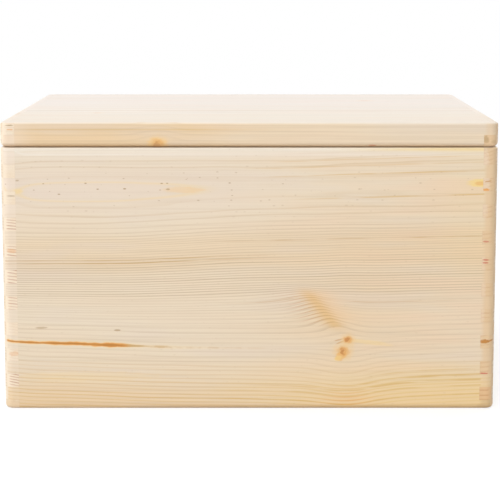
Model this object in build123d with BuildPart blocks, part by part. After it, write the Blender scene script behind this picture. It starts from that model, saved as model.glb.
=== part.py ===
"""Finger-jointed pine storage box with a hinged lid, in millimetres.

The origin is the middle of the underside, with +X to the right, +Y to the back and +Z up.
Four boards are joined by square fingers and rounded over as one box, with a panel grooved in as the floor.
The corners are rounded most, the foot less, and the rim under the lid is only eased except at the hinges.
The lid is a frame of low rails joined in the same way, with a panel let in flush.
Two butt hinges are let into the back edges, and their pins lie inside the rounded back edges, so that the
lid leans back a little past upright before wood meets wood.
"""

import os

from build123d import *

os.makedirs("parts", exist_ok=True)

# Overall sizes of the box
box_length = 400.0
box_depth = 300.0
body_height = 214.8
lid_height = 19.8
lid_gap = 0.4
board_thickness = 12.0

# Rounded outer edges: the upright corners, the body's foot and rim, then the lid's lower and upper edges
corner_radius = 7.0
foot_radius = 3.2
rim_radius = 1.0
hinge_rim_radius = 6.0
lid_lower_radius = 4.0
lid_upper_radius = 2.0

# Finger joints: the lowest finger is cut short at the foot and the highest takes what is left
first_finger = 7.5
finger_height = 10.75
lid_finger_count = 2

# Floor panel in a stopped groove, and lid panel in a rebate
floor_thickness = 5.0
floor_lift = 8.0
groove_depth = 5.0
groove_play = 0.2
lid_panel_thickness = 9.0
rebate_width = 6.0
rebate_play = 0.08

# Grip holes through the two end boards
grip_length = 90.0
grip_height = 28.0
grip_centre = 152.0
grip_edge_radius = 3.0

# Butt hinges
hinge_length = 40.0
hinge_spacing = 240.0
pin_inset = 2.4
pin_radius = 1.0
pin_play = 0.05
barrel_radius = 2.1
barrel_play = 0.4
knuckle_count = 5
knuckle_gap = 0.2
leaf_thickness = 1.2
leaf_reach = 8.0
mortise_play = 0.15

# Countersunk hinge screws
screw_spacing = 24.0
screw_length = 9.0
screw_radius = 0.9
screw_head_radius = 2.0
screw_point = 2.0
screw_play = 0.05
slot_length = 2.6
slot_width = 0.5
slot_depth = 0.5

# Heights and places that follow from the sizes above
inner_length = box_length - 2 * board_thickness
inner_depth = box_depth - 2 * board_thickness
lid_foot = body_height + lid_gap
lid_top = lid_foot + lid_height
pin_y = box_depth / 2 - pin_inset
pin_z = body_height + lid_gap / 2
knuckle_pitch = hinge_length / knuckle_count
screw_y = (barrel_radius + barrel_play + leaf_reach) / 2
hinge_places = {"left": -hinge_spacing / 2, "right": hinge_spacing / 2}

# The four outer faces, each with its own X to the right and Y upwards as seen from outside
outer_faces = {
    "front": Plane((0, -box_depth / 2, 0), x_dir=(1, 0, 0), z_dir=(0, -1, 0)),
    "right": Plane((box_length / 2, 0, 0), x_dir=(0, 1, 0), z_dir=(1, 0, 0)),
    "back": Plane((0, box_depth / 2, 0), x_dir=(-1, 0, 0), z_dir=(0, 1, 0)),
    "left": Plane((-box_length / 2, 0, 0), x_dir=(0, -1, 0), z_dir=(-1, 0, 0)),
}
spans = {"front": box_length, "right": box_depth, "back": box_length, "left": box_depth}


def save(part, name):
    """Names a finished piece and writes it as its own node."""
    part.label = name
    export_step(part, f"parts/{name}.step")


def body_finger_lines():
    """Heights of the saw lines between the body's fingers, from the foot to the rim."""
    full_fingers = int((body_height - first_finger) / finger_height) - 1
    lines = [first_finger + finger_height * number for number in range(full_fingers + 1)]
    return [0.0, *lines, body_height]


def lid_finger_lines():
    """Heights of the saw lines between the lid's fingers, from its lower edge upwards."""
    return [lid_height * number / lid_finger_count for number in range(lid_finger_count + 1)]


def finger_board(outside, span, foot, lines, first_notch):
    """A board with fingers at both ends: at each height one end is notched for the neighbour's finger.

    The boards go round the box like a pinwheel, so all four are cut alike. first_notch is the end that is
    notched in the lowest row, -1 for the left and 1 for the right as seen from outside.
    """
    left_end = []
    right_end = []
    for row, (low, high) in enumerate(zip(lines, lines[1:])):
        notched = first_notch if row % 2 == 0 else -first_notch
        left = -span / 2 + (board_thickness if notched < 0 else 0)
        right = span / 2 - (board_thickness if notched > 0 else 0)
        left_end += [(left, foot + low), (left, foot + high)]
        right_end += [(right, foot + low), (right, foot + high)]
    with BuildPart() as blank:
        with BuildSketch(outside):
            with BuildLine():
                Polyline(*right_end, *reversed(left_end), close=True)
            make_face()
        extrude(amount=-board_thickness)
    return blank.part


def leaf_face(centre_x, side):
    """The face of a hinge leaf that looks into the joint: side is -1 on the body and 1 on the lid."""
    origin = (centre_x, pin_y, pin_z + side * lid_gap / 2)
    return Plane(origin, x_dir=(-side, 0, 0), z_dir=(0, 0, -side))


def cut_hinge_seats(side):
    """Cuts both hinges' mortises, barrel hollows and screw holes in the board that is being built."""
    for centre_x in hinge_places.values():
        with BuildSketch(leaf_face(centre_x, side)) as mortise:
            Rectangle(
                hinge_length + 2 * mortise_play,
                leaf_reach + mortise_play,
                align=(Align.CENTER, Align.MAX),
            )
        extrude(mortise.sketch, amount=-leaf_thickness, mode=Mode.SUBTRACT)
        with Locations((centre_x, pin_y, pin_z)):
            Cylinder(
                barrel_radius + barrel_play,
                hinge_length + 2 * mortise_play,
                rotation=(0, 90, 0),
                mode=Mode.SUBTRACT,
            )
        with Locations(leaf_face(centre_x, side)):
            with GridLocations(screw_spacing, 0, 2, 1):
                with Locations((0, -screw_y)):
                    Hole(screw_radius + screw_play, depth=screw_length + screw_play)


def hinge_leaf(centre_x, side):
    """A leaf with every second knuckle: the body's has the outer ones, the lid's those between."""
    first = 0 if side < 0 else 1
    middles = [(number + 0.5) * knuckle_pitch - hinge_length / 2 for number in range(knuckle_count)]
    own = middles[first::2]
    others = middles[1 - first :: 2]
    face = leaf_face(centre_x, side)
    with BuildPart() as leaf:
        with BuildSketch(face):
            Rectangle(hinge_length, leaf_reach, align=(Align.CENTER, Align.MAX))
            with Locations(*[(-side * middle, 0) for middle in others]):
                Rectangle(
                    knuckle_pitch + knuckle_gap,
                    barrel_radius + barrel_play,
                    align=(Align.CENTER, Align.MAX),
                    mode=Mode.SUBTRACT,
                )
        extrude(amount=-leaf_thickness)
        with Locations(*[(centre_x + middle, pin_y, pin_z) for middle in own]):
            Cylinder(barrel_radius, knuckle_pitch - knuckle_gap, rotation=(0, 90, 0))
        with Locations((centre_x, pin_y, pin_z)):
            Cylinder(pin_radius + pin_play, 2 * hinge_length, rotation=(0, 90, 0), mode=Mode.SUBTRACT)
        with Locations(face):
            with GridLocations(screw_spacing, 0, 2, 1):
                with Locations((0, -screw_y)):
                    CounterSinkHole(
                        screw_radius + screw_play,
                        screw_head_radius + screw_play,
                        depth=2 * leaf_thickness,
                        counter_sink_angle=90,
                    )
    return leaf.part


def hinge_screws(side):
    """The screws of both leaves on one side of the joint, with cross slots in their heads."""
    head_height = screw_head_radius - screw_radius
    with BuildPart() as screws:
        for centre_x in hinge_places.values():
            with Locations(leaf_face(centre_x, side)):
                with GridLocations(screw_spacing, 0, 2, 1):
                    with Locations((0, -screw_y, -screw_length)):
                        Cone(0, screw_radius, screw_point, align=(Align.CENTER, Align.CENTER, Align.MIN))
                    with Locations((0, -screw_y, -screw_length + screw_point)):
                        shank = screw_length - screw_point - head_height
                        Cylinder(screw_radius, shank, align=(Align.CENTER, Align.CENTER, Align.MIN))
                    with Locations((0, -screw_y, -head_height)):
                        Cone(
                            screw_radius,
                            screw_head_radius,
                            head_height,
                            align=(Align.CENTER, Align.CENTER, Align.MIN),
                        )
                    with Locations((0, -screw_y)):
                        Box(slot_length, slot_width, 2 * slot_depth, mode=Mode.SUBTRACT)
                        Box(slot_width, slot_length, 2 * slot_depth, mode=Mode.SUBTRACT)
    return screws.part


# Outer forms that the joined boards are rounded to. The back rim is rounded more, so that the lid can swing past it.
with BuildPart() as hinge_rim_form:
    Box(box_length, box_depth, body_height, align=(Align.CENTER, Align.CENTER, Align.MIN))
    fillet(hinge_rim_form.faces().sort_by(Axis.Z)[-1].edges().sort_by(Axis.Y)[-1], hinge_rim_radius)

with BuildPart() as body_form:
    with BuildSketch():
        RectangleRounded(box_length, box_depth, corner_radius)
    extrude(amount=body_height)
    fillet(body_form.faces().sort_by(Axis.Z)[0].edges(), foot_radius)
    fillet(body_form.faces().sort_by(Axis.Z)[-1].edges(), rim_radius)
    add(hinge_rim_form.part, mode=Mode.INTERSECT)

with BuildPart() as lid_form:
    with BuildSketch(Plane.XY.offset(lid_foot)):
        RectangleRounded(box_length, box_depth, corner_radius)
    extrude(amount=lid_height)
    fillet(lid_form.faces().sort_by(Axis.Z)[0].edges(), lid_lower_radius)
    fillet(lid_form.faces().sort_by(Axis.Z)[-1].edges(), lid_upper_radius)

# Body boards, with the floor's groove in all four, the hinges in the back one and grips in the ends
body_names = {
    "front": "front_board",
    "right": "right_end_board",
    "back": "back_board",
    "left": "left_end_board",
}
for place, node in body_names.items():
    with BuildPart() as board:
        add(finger_board(outer_faces[place], spans[place], 0, body_finger_lines(), -1))
        add(body_form.part, mode=Mode.INTERSECT)
        with BuildSketch(Plane.XY.offset(floor_lift)):
            Rectangle(inner_length + 2 * groove_depth, inner_depth + 2 * groove_depth)
        extrude(amount=floor_thickness + groove_play, mode=Mode.SUBTRACT)
        if place == "back":
            cut_hinge_seats(-1)
        if place in ("left", "right"):
            with BuildSketch(outer_faces[place]):
                with Locations((0, grip_centre)):
                    SlotOverall(grip_length, grip_height)
            extrude(amount=-board_thickness, mode=Mode.SUBTRACT)
            fillet(board.edges(Select.LAST).filter_by(Plane.YZ), grip_edge_radius)
    save(board.part, node)

# Floor panel, resting on the groove's lower face
with BuildPart() as bottom_panel:
    with BuildSketch(Plane.XY.offset(floor_lift)):
        Rectangle(
            inner_length + 2 * (groove_depth - groove_play),
            inner_depth + 2 * (groove_depth - groove_play),
        )
    extrude(amount=floor_thickness)
save(bottom_panel.part, "bottom_panel")

# Lid rails, with the panel's rebate in all four and the hinges in the back one
for place in body_names:
    with BuildPart() as rail:
        add(finger_board(outer_faces[place], spans[place], lid_foot, lid_finger_lines(), 1))
        add(lid_form.part, mode=Mode.INTERSECT)
        with BuildSketch(Plane.XY.offset(lid_top)):
            Rectangle(inner_length + 2 * rebate_width, inner_depth + 2 * rebate_width)
        extrude(amount=-lid_panel_thickness, mode=Mode.SUBTRACT)
        if place == "back":
            cut_hinge_seats(1)
    save(rail.part, f"lid_{place}_rail")

# Lid panel, resting on the rebate's ledge and flush with the rails
with BuildPart() as lid_panel:
    with BuildSketch(Plane.XY.offset(lid_top)):
        Rectangle(
            inner_length + 2 * (rebate_width - rebate_play),
            inner_depth + 2 * (rebate_width - rebate_play),
        )
    extrude(amount=-lid_panel_thickness)
save(lid_panel.part, "lid_panel")

# Hinge leaves and pins
for place, centre_x in hinge_places.items():
    save(hinge_leaf(centre_x, -1), f"{place}_hinge_box_leaf")
    save(hinge_leaf(centre_x, 1), f"{place}_hinge_lid_leaf")
    with BuildPart() as hinge_pin:
        with Locations((centre_x, pin_y, pin_z)):
            Cylinder(pin_radius, hinge_length, rotation=(0, 90, 0))
        chamfer(hinge_pin.edges().filter_by(GeomType.CIRCLE), pin_radius / 4)
    save(hinge_pin.part, f"{place}_hinge_pin")

# Hinge screws, four to each body
save(hinge_screws(-1), "box_hinge_screws")
save(hinge_screws(1), "lid_hinge_screws")
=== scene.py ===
"""Looks of the pine storage box: wood, brass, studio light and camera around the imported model.

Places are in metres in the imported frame: X to the right, Y to the back, Z up.
The wood is drawn in millimetres on each board's own directions: along its grain, across its face
and through its thickness, counted from the outer face.
"""

import math

import bpy
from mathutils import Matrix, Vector


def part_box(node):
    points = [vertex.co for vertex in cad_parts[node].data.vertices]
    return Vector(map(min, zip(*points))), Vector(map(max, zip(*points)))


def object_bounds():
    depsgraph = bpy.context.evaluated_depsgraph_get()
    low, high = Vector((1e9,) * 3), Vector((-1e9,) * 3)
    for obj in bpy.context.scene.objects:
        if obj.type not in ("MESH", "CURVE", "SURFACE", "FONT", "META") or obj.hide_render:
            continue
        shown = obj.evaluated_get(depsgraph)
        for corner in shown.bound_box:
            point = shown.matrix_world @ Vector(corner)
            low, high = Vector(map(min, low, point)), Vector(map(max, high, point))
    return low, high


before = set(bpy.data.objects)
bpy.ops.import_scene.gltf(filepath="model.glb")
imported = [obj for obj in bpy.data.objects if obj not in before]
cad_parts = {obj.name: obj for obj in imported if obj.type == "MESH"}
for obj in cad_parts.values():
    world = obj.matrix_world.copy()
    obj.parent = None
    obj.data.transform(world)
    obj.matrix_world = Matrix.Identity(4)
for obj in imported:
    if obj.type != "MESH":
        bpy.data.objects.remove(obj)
cad_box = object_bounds()

# Sizes of the box in millimetres
mm = 1000.0
half_length = cad_box[1][0] * mm
half_depth = cad_box[1][1] * mm
lid_top = cad_box[1][2] * mm
lid_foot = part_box("lid_front_rail")[0][2] * mm
floor_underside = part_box("bottom_panel")[0][2] * mm
front_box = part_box("front_board")
board_thickness = (front_box[1][1] - front_box[0][1]) * mm
joint_line = half_length - board_thickness

# Finger joints: the lowest saw line and the height of a finger
box_fingers = (7.5, 10.75)
lid_fingers = (lid_foot, (lid_top - lid_foot) / 2)

# A board's directions: along its grain, across its face and through its thickness
long_board = "XZY"
end_board = "YZX"
flat_panel = "XYZ"


def srgb(red, green, blue):
    """A colour as it is seen, 0 to 255, as Blender's linear colour."""
    shares = [value / 255 for value in (red, green, blue)]
    linear = [s / 12.92 if s <= 0.04045 else ((s + 0.055) / 1.055) ** 2.4 for s in shares]
    return (*linear, 1.0)


# Colours of the wood
early_wood = srgb(233, 219, 197)
warm_wood = srgb(231, 200, 154)
peach_wood = srgb(238, 208, 178)
lilac_wood = srgb(229, 212, 197)
# The next two colours are painted highlight and painted sheen, not the wood's own colour
painted_highlight_pale = srgb(241, 233, 222)
painted_sheen_back = srgb(243, 237, 234)
late_wood = srgb(190, 163, 128)
golden_late_wood = srgb(212, 172, 92)
golden_wood = srgb(238, 211, 150)
cut_end = srgb(226, 199, 163)
pale_cut_end = srgb(240, 224, 202)
tan_cut_end = srgb(227, 197, 158)
corner_pale = srgb(241, 224, 207)
cut_end_ring = srgb(186, 122, 84)
# Dark brown of the joints between pieces, also used for painted shade at the foot and along the lid's lower
# edge
seam_and_painted_shade = srgb(186, 152, 112)
resin_brown = srgb(194, 132, 64)
resin_orange = srgb(230, 166, 92)
resin_red = srgb(208, 122, 100)
resin_tail = srgb(196, 154, 92)
resin_yellow = srgb(241, 212, 136)
speck_brown = srgb(174, 140, 94)
knot_heart = srgb(186, 116, 62)
knot_body = srgb(233, 180, 110)
knot_halo = srgb(237, 200, 140)
crest_tan = srgb(228, 187, 122)
crest_brown = srgb(208, 166, 126)
crest_peach = srgb(240, 202, 156)
veneer_pale = srgb(232, 208, 170)
veneer_tan = srgb(214, 180, 132)
veneer_edge = srgb(196, 154, 104)

# Colours of the brass, where it is bright and where it is dull
hinge_bright = srgb(206, 182, 130)
hinge_dull = srgb(172, 144, 92)
screw_bright = srgb(212, 190, 140)
screw_dull = srgb(182, 154, 102)

# What is the same all over a surface
sanded_wood = {"Specular IOR Level": 0.3}
bare_metal = {"Metallic": 1.0}


class Wire:
    """One output socket of a material. Arithmetic on wires adds Math nodes."""

    def __init__(self, socket):
        self.socket = socket

    def node(self, kind, values, output=0, points=None, **settings):
        """Adds a node with its settings, then its inputs' values or links, and gives one output."""
        tree = self.socket.id_data
        made = tree.nodes.new("ShaderNode" + kind)
        for name, value in settings.items():
            setattr(made, name, value)
        if points:
            line = made.mapping.curves[0].points
            while len(line) < len(points):
                line.new(1.0, 1.0)
            for point, place in zip(line, points):
                point.location = place
            made.mapping.update()
        for name, value in values.items():
            if isinstance(value, Wire):
                tree.links.new(value.socket, made.inputs[name])
            else:
                made.inputs[name].default_value = value
        return Wire(made.outputs[output]) if made.outputs else None

    def other(self, output):
        """Another output of the same node."""
        return Wire(self.socket.node.outputs[output])

    def math(self, operation, *others):
        """A Math node with this wire as its first value."""
        return self.node("Math", dict(enumerate((self, *others))), operation=operation)

    def __add__(self, other):
        return self.math("ADD", other)

    __radd__ = __add__

    def __sub__(self, other):
        return self.math("SUBTRACT", other)

    def __rsub__(self, other):
        return self.node("Math", {0: other, 1: self}, operation="SUBTRACT")

    def __mul__(self, other):
        return self.math("MULTIPLY", other)

    __rmul__ = __mul__

    def __truediv__(self, other):
        return self.math("DIVIDE", other)

    def __rtruediv__(self, other):
        return self.node("Math", {0: other, 1: self}, operation="DIVIDE")

    def __abs__(self):
        return self.math("ABSOLUTE")

    def rise(self, low, high):
        """0 at low and 1 at high, with a smooth step between them; low may be the larger."""
        values = {"Value": self, "From Min": low, "From Max": high}
        return self.node("MapRange", values, interpolation_type="SMOOTHSTEP")

    def bell(self, width):
        """1 where the value is 0, dying away on both sides."""
        share = self * (1 / width)
        return (0 - share * share).math("EXPONENT")

    def curve(self, points):
        """A smooth line through (value, result) points."""
        places, results = zip(*points)
        span = places[-1] - places[0]
        low, high = min(results), max(results)
        shares = [((p - places[0]) / span, (r - low) / (high - low)) for p, r in points]
        drawn = self.node("FloatCurve", {"Value": (self - places[0]) * (1 / span)}, points=shares)
        return drawn * (high - low) + low

    def mix(self, first, second):
        """The first colour where this wire is 0 and the second where it is 1."""
        return self.node("Mix", {0: self, 6: first, 7: second}, output=2, data_type="RGBA")

    def noise(self, stretch, detail=2.0, seed=0.0):
        """Cloudy variation from 0 to 1 on this place, with that many lumps per millimetre on each axis."""
        values = {0: self, 1: stretch, 2: (seed, seed, seed)}
        place = self.node("VectorMath", values, operation="MULTIPLY_ADD")
        return self.node("TexNoise", {"Vector": place, "Scale": 1.0, "Detail": detail})


def bare_tree(owner):
    """The empty node tree of a material or a world."""
    owner.use_nodes = True
    owner.node_tree.nodes.clear()
    return owner.node_tree


class Board:
    """A material in the making, with wires for a point's place on the board in millimetres."""

    def __init__(self, name, directions, outer_face):
        self.material = bpy.data.materials.new(name)
        coordinates = bare_tree(self.material).nodes.new("ShaderNodeTexCoord")
        spot = Wire(coordinates.outputs["Object"])
        spot = spot.node("VectorMath", {0: spot, "Scale": mm}, operation="SCALE")
        x = spot.node("SeparateXYZ", {0: spot})
        axes = {"X": x, "Y": x.other("Y"), "Z": x.other("Z")}
        along, across, through = directions
        self.y = axes["Y"]
        self.z = axes["Z"]
        self.along = axes[along]
        self.across = axes[across]
        self.through = abs(axes[through] - outer_face)
        self.spot = spot.node("CombineXYZ", {0: self.along, 1: self.across, 2: self.through})
        facing = Wire(coordinates.outputs["Normal"])
        grain = tuple(float(axis == along) for axis in "XYZ")
        facing = facing.node("VectorMath", {0: facing, 1: grain}, output="Value", operation="DOT_PRODUCT")
        self.end_grain = abs(facing).rise(0.5, 0.8)
        self.ragged = (self.spot.noise((0.15, 0.6, 0.6), seed=2.5) - 0.5) * 1.2

    def lens(self, far, across, half_span, half_width, slope=0.0):
        """1 inside a ragged lens at that height, 0 outside it; far is the distance from its middle."""
        off = (self.across - across - far * slope) * (1 / half_width)
        far = far * (1 / half_span)
        return (far * far + off * off + self.ragged).rise(1.0, 0.25)

    def patch(self, along, across, half_span, half_width):
        """A ragged lens that lies along the grain."""
        return self.lens(self.along - along, across, half_span, half_width)

    def close(self, colour, roughness, relief, relief_strength, relief_depth, all_over):
        """Closes the material with its colour, roughness and fine relief, and what is the same all over."""
        bump = {"Strength": relief_strength, "Distance": relief_depth, "Height": relief}
        surface = {"Base Color": colour, "Roughness": roughness, "Normal": relief.node("Bump", bump)}
        shader = colour.node("BsdfPrincipled", {**surface, **all_over})
        shader.node("OutputMaterial", {"Surface": shader})
        return self.material


def draw_marks(board, colour, direction, marks):
    """Ragged lenses of resin or stain that lie along one of the board's directions.

    A mark is its place on that direction, its height, half length, half width, slope, colour and strength.
    """
    for place, across, half_span, half_width, slope, stain, strength in marks:
        lens = board.lens(direction - place, across, half_span, half_width, slope)
        colour = (lens * strength).mix(colour, stain)
    return colour


def wandering_lines(board, wander, seed):
    """How far the grain lines stray from straight, in millimetres."""
    slow = board.spot.noise((0.004, 0.012, 0.02), detail=1.0, seed=seed)
    return (slow - 0.5) * (2 * wander)


def heart_radius(board, line_height, heart_across, heart_depth):
    """A point's distance from the heart of the tree, in millimetres."""
    rise = line_height - heart_across
    depth = heart_depth - board.through
    return (rise * rise + depth * depth).math("SQRT")


# Years of growth by the distance from the tree's heart
even_rings = ((0, 0), (40, 10), (110, 32), (190, 54), (320, 88))
wide_rings = ((0, 0), (30, 6), (90, 20), (190, 46), (320, 84))
fine_rings = ((0, 0), (60, 20), (150, 58), (320, 128))

# The share of a year at which its wood starts to darken
late_onset = 0.48


def growth_rings(board, radius, rings, seed, onset=late_onset):
    """Pale wood to dark late wood in each year's ring around the tree's heart, from 0 to 1."""
    ripple = board.spot.noise((0.012, 0.16, 0.05), detail=1.0, seed=seed)
    years = radius.curve(rings) + (ripple - 0.5) * 0.6
    season = years.math("FRACT")
    late = season.rise(onset, 0.93) * season.rise(1.0, 0.95)
    harshness = years.node("TexWhiteNoise", {"W": years.math("FLOOR") + seed}, noise_dimensions="1D")
    return late * (harshness * 0.5 + 0.5)


def draw_knot(board, colour, knot, strength=1.0):
    """The cut end of a branch: dark heart and orange body at that strength, and the yellow stain around."""
    along, across, radius = knot
    ragged = board.spot.noise((0.3, 0.3, 0.05), seed=along)
    far = board.along - along
    off = board.across - across
    size = (far * far * 0.8 + off * off).math("SQRT") * (1 / radius) + (ragged - 0.5) * 0.8
    colour = (size.rise(2.0, 0.8) * 0.55).mix(colour, knot_halo)
    rings = (size * 2.4 + ragged).math("FRACT")
    ringed_body = (rings * 0.35).mix(knot_body, knot_heart)
    colour = (size.rise(1.15, 0.45) * (0.9 * strength)).mix(colour, ringed_body)
    far = far + 0.22 * radius
    heart = (far * far + off * off).math("SQRT") * (1 / radius) + (ragged - 0.5) * 1.4
    return (heart.rise(0.62, 0.2) * (0.6 * strength)).mix(colour, knot_heart)


def knot_swerve(board, knot):
    """How far the grain lines bend aside to pass a knot."""
    along, across, radius = knot
    off = board.across - across
    aside = off * (1 / radius)
    reach = (board.along - along).bell(3.4 * radius)
    return aside / (aside * aside * 0.35 + 1) * reach * (0.9 * radius)


# How dark the rings of a cut end are by height, where it shows on the sides of the box
side_hatching = ((0, 0.75), (235, 0.85))


def finish_wood(board, colour, rings, fibre, seed, end_tone=cut_end, hatching=side_hatching, end_marks=()):
    """Puts the cut ends, the fibres and the sanded surface on a board, and closes its material."""
    colour = board.end_grain.mix(colour, cut_end_colour(board, rings, seed, end_tone, hatching, end_marks))
    roughness = fibre * 0.16 + 0.42 + board.end_grain * 0.15
    relief = rings * 0.35 + fibre
    return board.close(
        colour, roughness, relief, relief_strength=0.12, relief_depth=0.0004, all_over=sanded_wood,
    )


def cut_end_colour(board, rings, seed, tone, hatching, marks):
    """A cut end: its tone, brown rings that fade towards the rounded corner, open pores and marks."""
    inward = board.through.rise(3.2, 5.6)
    pores = board.spot.noise((0.02, 1.6, 1.6), detail=1.0, seed=seed + 3.0)
    cloud = board.spot.noise((0.01, 0.07, 0.12), detail=1.0, seed=seed + 5.0)
    colour = (cloud.rise(0.45, 0.7) * inward * 0.15).mix(tone, warm_wood)
    colour = (rings * inward * board.across.curve(hatching)).mix(colour, cut_end_ring)
    colour = (pores.rise(0.55, 0.75) * 0.15).mix(colour, cut_end_ring)
    colour = draw_marks(board, colour, board.through, marks)
    return (board.through.rise(board_thickness - 0.6, board_thickness - 0.1) * 0.14).mix(colour, seam_and_painted_shade)


def side_end_tone(board):
    """The tone of a front piece's cut ends, pale on the left side of the box and tan on the right."""
    return board.along.rise(-1, 1).mix(pale_cut_end, cut_end)


def finger_seams(board, colour, half_span, first_line, finger_height):
    """The hairline where one board's finger meets the next at a corner."""
    row = (board.z - first_line) * (1 / finger_height) + 0.5
    gap = abs(row.math("FRACT") - 0.5) * finger_height
    corner = abs(board.along).rise(half_span - board_thickness - 0.3, half_span - board_thickness)
    return (gap.rise(0.45, 0.1) * corner * 0.14).mix(colour, seam_and_painted_shade)


def corner_strips(board, colour, left, right):
    """The front's ends beyond the joint lines: on the left a painted highlight for the light on the rounded
    corner, stronger higher up, and tan on the right.
    """
    above_foot = board.across.rise(5, 55) * 0.7 + 0.3
    # Painted highlight on the left strip
    left_highlight_strip = board.along.rise(0.4 - joint_line, -0.6 - joint_line) * above_foot
    left_highlight_share = (board.across.rise(110, 190) * 0.5 + 1) * left
    colour = (left_highlight_strip * left_highlight_share).mix(colour, corner_pale)
    right_strip = board.along.rise(joint_line - 0.4, joint_line + 4) * above_foot
    return (right_strip * right).mix(colour, tan_cut_end)


def fine_fibre(board, seed):
    """Short pale and dark hairs along the grain, from 0 to 1."""
    return board.spot.noise((0.03, 2.2, 2.2), seed=seed + 11.0)


def slow_cloud(board, seed):
    """Broad, faint variation over a whole board, from 0 to 1."""
    return board.spot.noise((0.003, 0.02, 0.03), detail=1.0, seed=seed + 2.0)


def pine_tone(board, rings, fibre, warmth, blush, contrast, seed, line_colour=late_wood):
    """Pine before its marks: pale wood, warm bands, peach and lilac clouds, ring lines and fibres."""
    cloud = board.spot.noise((0.008, 0.05, 0.06), seed=seed + 7.0)
    streak = board.spot.noise((0.005, 0.7, 0.7), detail=3.0, seed=seed + 9.0)
    colour = warmth.mix(early_wood, warm_wood)
    colour = (cloud.rise(0.35, 0.7) * blush).mix(colour, peach_wood)
    colour = (cloud.rise(0.5, 0.3) * 0.4).mix(colour, lilac_wood)
    colour = (rings * contrast).mix(colour, line_colour)
    colour = (streak.rise(0.4, 0.75) * 0.2).mix(colour, late_wood)
    return (fibre.rise(0.5, 0.8) * 0.1).mix(colour, late_wood)


def scattered_specks(board, colour, amount):
    """Tiny resin canals cut open along the grain, some millimetres apart and of many sizes.

    The size of a speck is its cell's random colour, taken as grey.
    """
    place = board.spot.node("VectorMath", {0: board.spot, 1: (0.1, 0.22, 0.0)}, operation="MULTIPLY")
    cells = place.node("TexVoronoi", {"Vector": place, "Scale": 1.0}, voronoi_dimensions="2D")
    edge = cells - (cells.other("Color") - 0.4) * 0.24
    return (edge.rise(0.03, -0.05) * amount).mix(colour, speck_brown)


def painted_top_sheen(board, colour, rings, seed):
    """Painted sheen on the lid's upper face: paled as the light and the white surroundings make it look,
    whitest at the back, and the late wood the least.
    """
    paled = (slow_cloud(board, seed) * 0.2 + 0.58) * (1 - rings * 0.4)
    sheen_colour = board.y.rise(-130, 60).mix(painted_highlight_pale, painted_sheen_back)
    return (board.z.rise(lid_top - 1.6, lid_top - 0.2) * paled).mix(colour, sheen_colour)


def plain_pine(
    name, directions, outer_face, heart, rings, seed,
    wander=3.0, warmth=0.1, contrast=0.45, knots=(), seams=None, **cut_ends,
):
    """Material of a board that the photograph shows little of.

    The tree's heart is given as its place across the board and its depth behind the outer face, a knot
    as its place along and across and its radius, and the seams as half the board's length and its fingers.
    """
    board = Board(name, directions, outer_face)
    line_height = board.across - wandering_lines(board, wander, seed)
    for knot in knots:
        line_height = line_height - knot_swerve(board, knot)
    late = growth_rings(board, heart_radius(board, line_height, *heart), rings, seed)
    fibre = fine_fibre(board, seed)
    warm_cloud = slow_cloud(board, seed).rise(0.4, 0.8) * 0.3
    colour = pine_tone(board, late, fibre, warm_cloud + warmth, 0.6, contrast, seed)
    colour = scattered_specks(board, colour, 0.35)
    for knot in knots:
        colour = draw_knot(board, colour, knot)
    if seams:
        colour = finger_seams(board, colour, *seams)
    # Painted sheen on the lid's upper face
    colour = painted_top_sheen(board, colour, late, seed)
    return finish_wood(board, colour, late, fibre, seed, **cut_ends)


# Front board: how far its grain lines are lifted along the board, at the top, in the middle and low down
front_top_lines = (
    (-200, -2.2), (-130, -2.0), (-65, -1.2), (-8, 0.0), (70, 2.2), (134, 4.4), (171, 5.4), (200, 6.2),
)
front_middle_lines = (
    (-200, -4.6), (-154, -4.1), (-113, -4.0), (-65, -2.4), (-8, 0.0), (70, 1.4), (134, 2.9), (171, 3.8),
    (200, 4.4),
)
front_low_lines = (
    (-200, 6.8), (-188, 5.3), (-170, 4.3), (-154, 4.0), (-113, 2.5), (-65, 0.8), (-8, 0.0), (37, -0.8),
    (78, -1.0), (105, 0.4), (130, 2.0), (171, 3.8), (200, 4.8),
)

# The tree's heart: its height, its depth behind the face along the board, the ring that shows as an oval,
# and the middle of the band that is lilac and full of specks
front_heart_height = 181.8
front_heart_depths = (
    (-200, 10.8), (-187, 10.0), (-135, 6.7), (-81, 8.0), (-35, 10.0), (17, 11.5), (70, 11.6), (155, 10.5),
    (200, 10.0),
)
oval_ring = 10.0
heart_band_height = 182.0

# Years of growth by the distance from the heart, then by height how warm the wood is,
# and how strong and how golden its lines are
front_rings = (
    (0, 0), (14.6, 1), (25.5, 3), (36.5, 6), (47.5, 12), (60, 18), (83, 29), (97, 35), (106, 39), (128, 45),
    (158, 53), (186, 62),
)
front_warmth = (
    (0, 0.7), (10, 0.5), (21, 0.3), (31, 0.15), (43, 0.06), (101, 0.05), (115, 0.12), (123, 0.32),
    (138, 0.34), (148, 0.12), (161, 0.03), (216, 0.0),
)
front_contrast = (
    (0, 0.65), (24, 0.52), (41, 0.28), (65, 0.25), (89, 0.28), (97, 0.9), (116, 0.95), (124, 0.7),
    (129, 0.46), (151, 0.38), (171, 0.31), (191, 0.33), (216, 0.36),
)
front_golden_lines = ((0, 1.0), (31, 0.9), (45, 0.1), (151, 0.1), (166, 0.5), (216, 0.5))

# Two knots, the lines that part around them and sag below, and the crest of lines above them
front_knots = ((80.2, 57.6, 3.7), (76.6, 48.0, 4.9))
parting_along = 78.0
parting_height = 53.0
parting_rise = 5.5
knot_sag = 3.0
crest_along = 47.0
crest_height = 97.0
crest_lean = 0.82
crest_left_spread = 24.0
crest_right_spread = 12.0
crest_rise = 7.5
ripple_height = 2.6

# Rim under the lid: two painted highlight lines of its rounded edge, the lower of which curls up at its
# left end
rim_highlight_height = 213.4
curled_highlight_height = 209.2
curl_rise = 4.0

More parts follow.
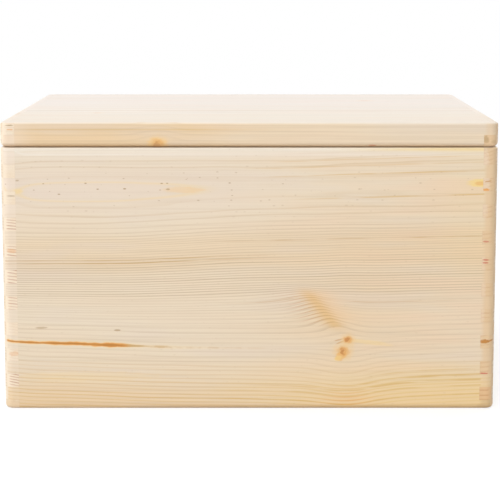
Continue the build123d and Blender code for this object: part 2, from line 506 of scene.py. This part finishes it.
# Resin streak: its height, and its half width and strength along the board
resin_line = 50.8
resin_half_widths = (
    (-200, 0.9), (-188, 1.0), (-150, 1.2), (-136, 1.55), (-118, 1.7), (-104, 1.4), (-95, 1.0), (-78, 0.8),
    (30, 0.6),
)
resin_strengths = (
    (-200, 0.7), (-188, 0.9), (-106, 1.0), (-98, 0.8), (-85, 0.6), (-70, 0.45), (-30, 0.25), (30, 0.0),
)

# Lines darker than their neighbours: height, half width, strength, and where they start and are full
heavy_brown_lines = (
    (127.0, 0.5, 0.6, 70, -60), (124.5, 0.45, 0.75, 70, -60), (139.1, 0.5, 0.6, -60, 40),
    (87.0, 0.45, 0.5, -40, 20),
)
heavy_golden_lines = (
    (172.0, 0.6, 0.6, 20, 80), (190.6, 0.5, 0.55, -20, 60), (197.4, 0.5, 0.4, -60, 40),
    (202.6, 0.5, 0.4, -40, 60), (29.4, 0.6, 0.4, 60, 120), (24.4, 1.1, 0.65, 40, 120),
    (20.2, 0.9, 0.65, -60, 110), (15.6, 0.6, 0.5, -150, 60), (8.4, 0.6, 0.5, -150, 20),
)

# Marks on the front board's face: the resin spots and specks, then the stains around the knots
front_spots = (
    (-53, 180.8, 20, 3.0, 0.0, knot_halo, 0.45),
    (-65.4, 181.2, 2.0, 0.9, 0.0, speck_brown, 0.6),
    (-185.6, 179.6, 5, 2.4, 0.0, resin_yellow, 0.4),
    (185, 186.4, 11, 4.0, 0.0, resin_yellow, 0.8),
    (186, 186.0, 6, 1.8, 0.0, resin_orange, 0.45),
    (-168.6, 67.6, 6.2, 1.0, 0.0, speck_brown, 0.5),
    (-107.2, 65.6, 3.2, 0.9, 0.0, speck_brown, 0.65),
    (-190.8, 191.6, 2.2, 0.8, 0.0, speck_brown, 0.6),
    (-186.4, 188.2, 1.8, 0.8, 0.0, speck_brown, 0.5),
)
front_knot_stains = (
    (98, 55.4, 24, 2.2, -0.12, resin_yellow, 0.35),
    (74.6, 44.2, 5.4, 4.6, 0.3, knot_body, 0.9),
    (72.2, 42.4, 3.6, 2.8, 0.3, resin_yellow, 0.6),
    (73.0, 57.6, 4.6, 0.7, 0.25, resin_brown, 0.5),
    (74.2, 55.6, 4.0, 0.7, 0.4, resin_brown, 0.5),
)


def front_line_height(board):
    """Where a point lies in the front board's grain.

    Gives the height of its line at the middle of the board, its distance from the crest's ridge,
    and its share of the crest's rise, from 0 to 1.
    """
    top = board.along.curve(front_top_lines)
    middle = board.along.curve(front_middle_lines)
    low = board.along.curve(front_low_lines)
    lift = low + (middle - low) * board.across.rise(58, 118)
    lift = lift + (top - middle) * board.across.rise(140, 205)
    ridge = board.along - crest_along - (crest_height - board.across) * crest_lean
    left_slope, right_slope = 1 / crest_left_spread, 1 / crest_right_spread
    share = ridge * (ridge.rise(-4, 4) * (right_slope - left_slope) + left_slope)
    crest = 1 / (share * share + 1)
    crest = crest * board.across.rise(108, 89) * board.across.rise(54, 76)
    aside = (board.across - parting_height) * (1 / 8)
    parting = aside / (aside * aside + 1) * (board.along - parting_along).bell(19)
    sag = (board.along - 80).bell(30) * board.across.rise(48, 28)
    line_height = board.across - lift - crest * crest_rise - parting * parting_rise + sag * knot_sag
    return line_height, ridge, crest


def front_tones(board, colour):
    """Golden wood at the foot, to the right most of all, and lilac wood around the heart."""
    golden_foot = board.along.rise(-80, 150) * board.across.rise(50, 12)
    colour = (golden_foot * 0.47).mix(colour, golden_wood)
    lilac_heart = (board.across - heart_band_height).bell(20) * board.along.rise(60, -60)
    colour = (lilac_heart * 0.55).mix(colour, lilac_wood)
    return (board.patch(-130, 27, 70, 5.0) * 0.22).mix(colour, golden_wood)


def front_rim(board, colour):
    """Painted highlights on the rounded rim under the lid: a pale band and two pale lines, the upper one
    yellow on the right.
    """
    # Painted highlight along the top of the rim
    colour = (board.across.rise(203, 212) * 0.4).mix(colour, painted_highlight_pale)
    rim_highlight = (board.across - rim_highlight_height).bell(1.3) * (board.along.rise(0, 120) * 0.35 + 0.3)
    colour = rim_highlight.mix(colour, board.along.rise(40, 160).mix(painted_highlight_pale, resin_yellow))
    # Painted highlight where the rim's rounding turns round the left corner
    curl = board.along.rise(-178, -194) * curl_rise
    curled_highlight = (board.across - curl - curled_highlight_height).bell(0.9)
    return (curled_highlight * (board.along.rise(60, -120) * 0.2 + 0.25)).mix(colour, painted_highlight_pale)


def front_ends(board, colour):
    """Golden wood towards the upper right, and both ends beyond the joint lines."""
    golden_right = board.along.rise(130, 190) * board.across.rise(90, 130)
    colour = (golden_right * 0.16).mix(colour, golden_wood)
    return corner_strips(board, colour, 0.32, 0.8)


def front_foot(board, colour, late):
    """Painted shade along the foot, stronger to the right and at the right corner, and the orange lines
    below the knots.
    """
    painted_foot_shade = board.across.rise(5.4, 0.8) * (board.along.rise(-140, -20) * 0.35 + 0.2)
    colour = painted_foot_shade.mix(colour, seam_and_painted_shade)
    # Painted shade at the right corner of the foot
    colour = (board.patch(195, 2.0, 10, 8.0) * 0.3).mix(colour, seam_and_painted_shade)
    below_knots = (board.along - 81).bell(20) * (board.across - 8.0).bell(7)
    return (below_knots * (late * 0.6 + 0.12)).mix(colour, resin_orange)


def front_heavy_lines(board, colour, line_height, broken):
    """The lines that stand out, broken here and there, up to the right joint line."""
    unbroken = broken.rise(0.3, 0.62) * board.along.rise(joint_line + 2, joint_line)
    for lines, resin in ((heavy_brown_lines, resin_tail), (heavy_golden_lines, golden_late_wood)):
        for height, half_width, strength, start, full in lines:
            line = (line_height - height).bell(half_width) * board.along.rise(start, full) * unbroken
            colour = (line * strength).mix(colour, resin)
    return colour


def front_crest(board, colour, line_height, ridge):
    """The rippled crest of lines that leans down to the knots: peach flank, tan smear and brown ripples."""
    flank = (ridge - 9).bell(13) * board.across.rise(66, 80) * board.across.rise(104, 94)
    colour = (flank * 0.4).mix(colour, crest_peach)
    smear = ridge.bell(7.0) * board.across.rise(63, 72) * board.across.rise(103, 92)
    colour = (smear * 0.65).mix(colour, crest_tan)
    ripple = (line_height * (1 / ripple_height)).math("FRACT").rise(0.6, 0.95)
    wide = (ridge + 8).bell(16) * board.across.rise(66, 76) * board.across.rise(101, 93)
    colour = (wide * ripple * 0.9).mix(colour, crest_brown)
    return (smear * ripple * 0.38).mix(colour, resin_tail)


def front_resin_streak(board, colour, line_height, broken):
    """The long resin streak at the left: yellow stain, orange band, brown core and a tail of dashes."""
    half_width = board.along.curve(resin_half_widths)
    strength = board.along.curve(resin_strengths)
    uneven = board.spot.noise((0.09, 0.12, 0.12), seed=6.0)
    off = (line_height - resin_line + (broken - 0.5) * 1.4) / (half_width * (uneven * 1.1 + 0.2))
    reach = off * off
    dashes = board.along.rise(-90, -75) * uneven.rise(0.55, 0.4)
    band = reach.rise(2.6, 0.9) * strength * (1 - dashes)
    tail = board.along.rise(-106, -94)
    colour = (reach.rise(7.0, 1.5) * strength * 0.4).mix(colour, resin_yellow)
    colour = band.mix(colour, tail.mix(resin_orange, resin_tail))
    core = reach.rise(1.0, 0.2) * band * broken.rise(0.2, 0.5) * (1 - tail)
    return core.mix(colour, resin_brown)


def front_board_pine():
    """Material of the front board, with the marks that the photograph shows."""
    seed = 1.0
    board = Board("front_board_pine", long_board, -half_depth)
    line_height, ridge, crest = front_line_height(board)
    radius = heart_radius(board, line_height, front_heart_height, board.along.curve(front_heart_depths))
    onset = board.across.rise(140, 172) * 0.2 + late_onset
    late = growth_rings(board, radius, front_rings, seed, onset)
    fibre = fine_fibre(board, seed)
    broken = board.spot.noise((0.03, 0.5, 0.5), seed=4.0)

    to_right = board.along.rise(-60, 170)
    around_knots = (board.along - 80).bell(55) * (board.across - 78).bell(34)
    warmth = line_height.curve(front_warmth) + to_right * 0.16 + around_knots * 0.3
    contrast = line_height.curve(front_contrast) + crest * 0.25
    line_colour = line_height.curve(front_golden_lines).mix(late_wood, golden_late_wood)
    colour = pine_tone(board, late, fibre, warmth, to_right * 0.42 + 0.15, contrast, seed, line_colour)

    colour = front_tones(board, colour)
    colour = front_rim(board, colour)
    colour = front_ends(board, colour)
    colour = front_foot(board, colour, late)
    oval = (radius - oval_ring).bell(0.5) * board.along.rise(-10, -60)
    colour = (oval * 0.36).mix(colour, golden_wood)
    colour = front_heavy_lines(board, colour, line_height, broken)
    colour = finger_seams(board, colour, half_length, *box_fingers)
    colour = front_crest(board, colour, line_height, ridge)

    heart_band = (board.across - heart_band_height).bell(13) * (board.along.rise(60, -30) * 0.6 + 0.4)
    colour = scattered_specks(board, colour, heart_band * 0.7 + 0.1)
    colour = draw_marks(board, colour, board.along, front_spots)
    colour = front_resin_streak(board, colour, line_height, broken)
    colour = draw_marks(board, colour, board.along, front_knot_stains)
    for knot in front_knots:
        colour = draw_knot(board, colour, knot)
    return finish_wood(board, colour, late, fibre, seed, end_tone=side_end_tone(board))


# Lid front rail: its warmth along the rail, the tree's heart below it, the height of a golden line,
# and a soft knot that runs out at its lower edge
rail_warmth = ((-200, 0.75), (-60, 0.7), (0, 0.3), (200, 0.15))
rail_heart = (160, 9)
rail_line_height = 229.4
rail_knot = (-73.2, 217.4, 5.0)
rail_knot_stains = (
    (-73.4, 218.4, 10, 6, 0.0, knot_halo, 0.7),
    (-73.0, 217.6, 5.4, 4.6, 0.0, knot_body, 0.6),
)


def lid_front_pine():
    """Material of the lid's front rail: even pine, warmer to the left, with painted shade along its lower
    edge.
    """
    seed = 61.0
    board = Board("lid_front_pine", long_board, -half_depth)
    line_height = board.across - wandering_lines(board, 2.0, seed) - knot_swerve(board, rail_knot)
    late = growth_rings(board, heart_radius(board, line_height, *rail_heart), wide_rings, seed)
    fibre = fine_fibre(board, seed)
    colour = pine_tone(board, late, fibre, board.along.curve(rail_warmth) + 0.05, 0.35, 0.14, seed)
    colour = draw_marks(board, colour, board.along, rail_knot_stains)
    colour = draw_knot(board, colour, rail_knot, strength=0.75)
    colour = (board.patch(99, 216.6, 4.0, 1.0) * 0.7).mix(colour, resin_red)
    colour = finger_seams(board, colour, half_length, *lid_fingers)
    golden_line = (board.across - rail_line_height).bell(0.7) * board.along.rise(60, -60)
    colour = (golden_line * 0.34).mix(colour, golden_late_wood)
    # Painted highlight towards the lid's left corner
    colour = (board.along.rise(-168, -190) * 0.3).mix(colour, corner_pale)
    colour = corner_strips(board, colour, 0.25, 0.4)
    # Painted shade along the lower edge, where it rounds under into the gap
    lower_edge_shade = board.across.rise(lid_foot + 4.2, lid_foot + 0.6)
    colour = (lower_edge_shade * 0.5).mix(colour, seam_and_painted_shade)
    # Painted sheen along the lid's upper edge
    colour = painted_top_sheen(board, colour, late, seed)
    return finish_wood(board, colour, late, fibre, seed, end_tone=side_end_tone(board))


def floor_plywood():
    """Material of the bottom panel: a peeled face veneer with broad, faint figure."""
    seed = 21.0
    ply = 1.25
    board = Board("floor_plywood", flat_panel, floor_underside)
    peel = board.spot.noise((0.003, 0.03, 0.03), seed=seed)
    bands = (peel * 9).math("FRACT")
    fibre = fine_fibre(board, seed)
    colour = (bands.rise(0.2, 0.9) * 0.35).mix(veneer_pale, veneer_tan)
    colour = (fibre.rise(0.45, 0.8) * 0.3).mix(colour, late_wood)
    plies = (board.through * (1 / ply)).math("FRACT").rise(0.5, 0.6)
    colour = (board.end_grain * plies * 0.6).mix(colour, veneer_edge)
    roughness = fibre * 0.15 + 0.5
    return board.close(
        colour, roughness, fibre, relief_strength=0.1, relief_depth=0.0003, all_over=sanded_wood,
    )


def satin_brass(name, bright, dull, seed):
    """Brushed brass of the hinges and their screws, a little dull in places."""
    board = Board(name, flat_panel, 0.0)
    brushed = board.spot.noise((0.15, 6.0, 6.0), seed=seed)
    cloud = board.spot.noise((0.12, 0.25, 0.25), detail=3.0, seed=seed + 1.0)
    colour = cloud.rise(0.4, 0.75).mix(bright, dull)
    roughness = brushed * 0.2 + cloud * 0.14 + 0.24
    return board.close(
        colour, roughness, brushed, relief_strength=0.15, relief_depth=0.00005, all_over=bare_metal,
    )


# Cut ends at the front corners: how dark their rings are by height, and their marks
left_hatching = (
    (0, 0.3), (15, 0.3), (24, 0.8), (32, 0.75), (40, 0.2), (72, 0.15), (84, 0.7), (98, 0.8), (106, 1.0),
    (118, 1.0), (126, 0.8), (140, 0.8), (147, 0.85), (162, 0.8), (169, 0.1), (216, 0.05),
)
left_end_marks = (
    (8.5, 46, 5.0, 2.4, 0.1, resin_orange, 0.3),
    (8.0, 131, 5.0, 2.2, -0.1, resin_orange, 0.4),
    (8.5, 175.8, 4.4, 0.6, 0.0, speck_brown, 0.6),
    (6.0, 1.0, 16.0, 10.0, 0.0, cut_end, 0.8),
)
right_hatching = ((0, 0.7), (22, 0.65), (40, 0.3), (216, 0.25))
right_end_marks = (
    (11.0, 186.0, 5.0, 36.0, 0.0, corner_pale, 0.4),
    (12.5, 98.0, 4.5, 52.0, 0.0, corner_pale, 0.3),
    (8.5, 56.2, 5.0, 2.0, 0.0, resin_brown, 0.95),
    (3.0, 57.0, 4.0, 0.8, -0.25, resin_brown, 0.8),
    (8.0, 187.6, 3.4, 0.8, -0.2, resin_brown, 0.6),
    (9.5, 180.8, 3.2, 1.4, 0.0, resin_orange, 0.95),
    (9.0, 138.6, 3.4, 0.9, 0.0, resin_red, 0.75),
    (9.0, 123.6, 3.2, 0.8, 0.0, resin_red, 0.9),
    (9.0, 121.2, 3.2, 0.8, 0.0, resin_red, 0.9),
    (8.5, 29.6, 4.0, 0.9, 0.0, resin_red, 0.9),
    (6.0, 14.0, 14.0, 12.0, 0.0, resin_orange, 0.24),
)
lid_hatching = ((215, 0.1), (235, 0.14))
lid_left_end_marks = (
    (8.5, 229.4, 3.2, 0.7, 0.0, resin_orange, 0.6),
    (8.0, 232.8, 4.2, 0.6, 0.0, speck_brown, 0.7),
)
lid_right_end_marks = (
    (10.4, 221.6, 3.0, 3.6, 0.2, speck_brown, 0.5),
    (3.0, 219.5, 4.0, 2.0, 0.0, speck_brown, 0.2),
)

finishes = {
    "front_board": front_board_pine(),
    "back_board": plain_pine(
        "back_board_pine", long_board, half_depth, heart=(70, 26), rings=wide_rings, seed=31.0, wander=7.0,
        knots=((-96, 148, 5.0), (118, 52, 6.5), (24, 112, 2.6)), seams=(half_length, *box_fingers),
    ),
    "left_end_board": plain_pine(
        "left_end_pine", end_board, -half_length, heart=(-70, 2), rings=fine_rings, seed=41.0, wander=4.0,
        knots=((74, 62, 4.5),), seams=(half_depth, *box_fingers),
        end_tone=pale_cut_end, hatching=left_hatching, end_marks=left_end_marks,
    ),
    "right_end_board": plain_pine(
        "right_end_pine", end_board, half_length, heart=(275, 24), rings=even_rings, seed=53.0, wander=4.0,
        warmth=0.15, knots=((-66, 44, 5.2), (52, 98, 2.8)), seams=(half_depth, *box_fingers),
        end_tone=tan_cut_end, hatching=right_hatching, end_marks=right_end_marks,
    ),
    "lid_front_rail": lid_front_pine(),
    "lid_back_rail": plain_pine(
        "lid_back_pine", long_board, half_depth, heart=(262, 4), rings=even_rings, seed=67.0, wander=2.0,
        warmth=0.2, contrast=0.3, seams=(half_length, *lid_fingers),
    ),
    "lid_left_rail": plain_pine(
        "lid_left_pine", end_board, -half_length, heart=(150, 6), rings=even_rings, seed=71.0, wander=2.0,
        warmth=0.2, contrast=0.3, seams=(half_depth, *lid_fingers),
        end_tone=pale_cut_end, hatching=lid_hatching, end_marks=lid_left_end_marks,
    ),
    "lid_right_rail": plain_pine(
        "lid_right_pine", end_board, half_length, heart=(300, 6), rings=even_rings, seed=79.0, wander=2.0,
        warmth=0.25, contrast=0.3, seams=(half_depth, *lid_fingers),
        end_tone=tan_cut_end, hatching=lid_hatching, end_marks=lid_right_end_marks,
    ),
    "lid_panel": plain_pine(
        "lid_panel_pine", flat_panel, lid_top, heart=(-40, 34), rings=wide_rings, seed=83.0, wander=8.0,
        warmth=0.0, contrast=0.6, knots=((108, 70, 5.5), (-130, -62, 4.0)),
    ),
    "bottom_panel": floor_plywood(),
}
hinge_brass = satin_brass("hinge_brass", hinge_bright, hinge_dull, 5.0)
screw_brass = satin_brass("screw_brass", screw_bright, screw_dull, 9.0)
for side in ("left", "right"):
    for piece in ("hinge_box_leaf", "hinge_lid_leaf", "hinge_pin"):
        finishes[f"{side}_{piece}"] = hinge_brass
for body in ("box", "lid"):
    finishes[f"{body}_hinge_screws"] = screw_brass

for name, finish in finishes.items():
    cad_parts[name].material_slots[0].material = finish


# Studio: a pale floor that fades to white between two distances from the box, and white surroundings
plain_white = (1.0, 1.0, 1.0, 1.0)
floor_reach = 12.0
floor_paint = (0.8, 0.79, 0.78, 1.0)
floor_shade = (0.4, 0.4, 0.4, 1.0)
floor_glow = 0.68
floor_fade = (0.5, 1.2)
surroundings_light = 0.26

# Soft lamps: name, place, the point that each faces, width and power in watts
box_middle = (0.0, 0.0, 0.12)
lid_middle = (0.0, 0.0, 0.2)
lamps = (
    ("lamp_front_left", (-0.7, -4.0, 2.2), box_middle, 2.6, 108.5),
    ("lamp_left", (-2.6, -0.3, 0.6), box_middle, 1.0, 18.0),
    ("lamp_above", (-0.3, -0.2, 2.2), lid_middle, 1.8, 16.8),
    ("lamp_back_left", (-1.7, 2.0, 1.5), box_middle, 1.6, 12.0),
    ("lamp_back_right", (1.8, 2.0, 1.3), box_middle, 1.6, 29.0),
)

# Camera at the photograph's view, a little above the lid and tilted down by degrees
camera_place = (0.004, -1.3884, 0.3515)
camera_tilt = 7.212
camera_lens = 112.0
camera_sensor = 36.0
camera_shift = (-0.0084, -0.155)


def place_object(name, data):
    """Puts a new object with that mesh, lamp or camera into the scene."""
    placed = bpy.data.objects.new(name, data)
    bpy.context.scene.collection.objects.link(placed)
    return placed


def seen_directly(wire):
    """1 for rays from the camera, from a gloss or through glass, 0 for the light itself."""
    path = wire.node("LightPath", {}, output="Is Camera Ray")
    glossy = path.other("Is Glossy Ray")
    through_glass = path.other("Is Transmission Ray")
    return path.math("MAXIMUM", glossy).math("MAXIMUM", through_glass)


def studio_floor():
    """A wide pale floor that shows white and keeps the box's shadow."""
    mesh = bpy.data.meshes.new("studio_floor")
    corners = ((-1, -1), (1, -1), (1, 1), (-1, 1))
    mesh.from_pydata([(floor_reach * x, floor_reach * y, 0) for x, y in corners], [], [(0, 1, 2, 3)])
    floor = place_object("studio_floor", mesh)
    material = bpy.data.materials.new("studio_floor_paint")
    coordinates = bare_tree(material).nodes.new("ShaderNodeTexCoord")
    spot = Wire(coordinates.outputs["Object"])
    distance = spot.node("VectorMath", {0: spot}, output="Value", operation="LENGTH")
    paint = spot.node("BsdfDiffuse", {"Color": floor_paint})
    shade = spot.node("BsdfDiffuse", {"Color": floor_shade})
    glow = spot.node("Emission", {"Strength": floor_glow})
    near = spot.node("AddShader", {0: shade, 1: glow})
    white = spot.node("Emission", {"Strength": 1.0})
    seen = spot.node("MixShader", {0: distance.rise(*floor_fade), 1: near, 2: white})
    shown = spot.node("MixShader", {0: seen_directly(spot), 1: paint, 2: seen})
    shown.node("OutputMaterial", {"Surface": shown})
    mesh.materials.append(material)


def studio_surroundings():
    """White where it is seen, softer where it lights the box."""
    world = bpy.data.worlds.new("studio_white")
    lighting = bare_tree(world).nodes.new("ShaderNodeBackground")
    lighting.inputs["Color"].default_value = plain_white
    lighting.inputs["Strength"].default_value = surroundings_light
    soft = Wire(lighting.outputs[0])
    white = soft.node("Background", {"Color": plain_white, "Strength": 1.0})
    shown = soft.node("MixShader", {0: seen_directly(soft), 1: soft, 2: white})
    shown.node("OutputWorld", {"Surface": shown})
    bpy.context.scene.world = world


def soft_lamp(name, place, aim, width, power):
    """A square soft box that faces a point."""
    data = bpy.data.lights.new(name, "AREA")
    data.shape = "SQUARE"
    data.size = width
    data.energy = power
    lamp = place_object(name, data)
    lamp.location = place
    away = Vector(place) - Vector(aim)
    lamp.rotation_euler = away.to_track_quat("Z", "Y").to_euler()


def photo_camera():
    """The camera at the photograph's view, which sees the box from in front."""
    data = bpy.data.cameras.new("photo_camera")
    data.sensor_width = camera_sensor
    data.lens = camera_lens
    data.shift_x, data.shift_y = camera_shift
    camera = place_object("photo_camera", data)
    camera.location = camera_place
    camera.rotation_euler = (math.radians(90 - camera_tilt), 0.0, 0.0)
    bpy.context.scene.camera = camera


studio_floor()
studio_surroundings()
for lamp in lamps:
    soft_lamp(*lamp)
photo_camera()
bpy.context.scene.view_settings.view_transform = "Standard"
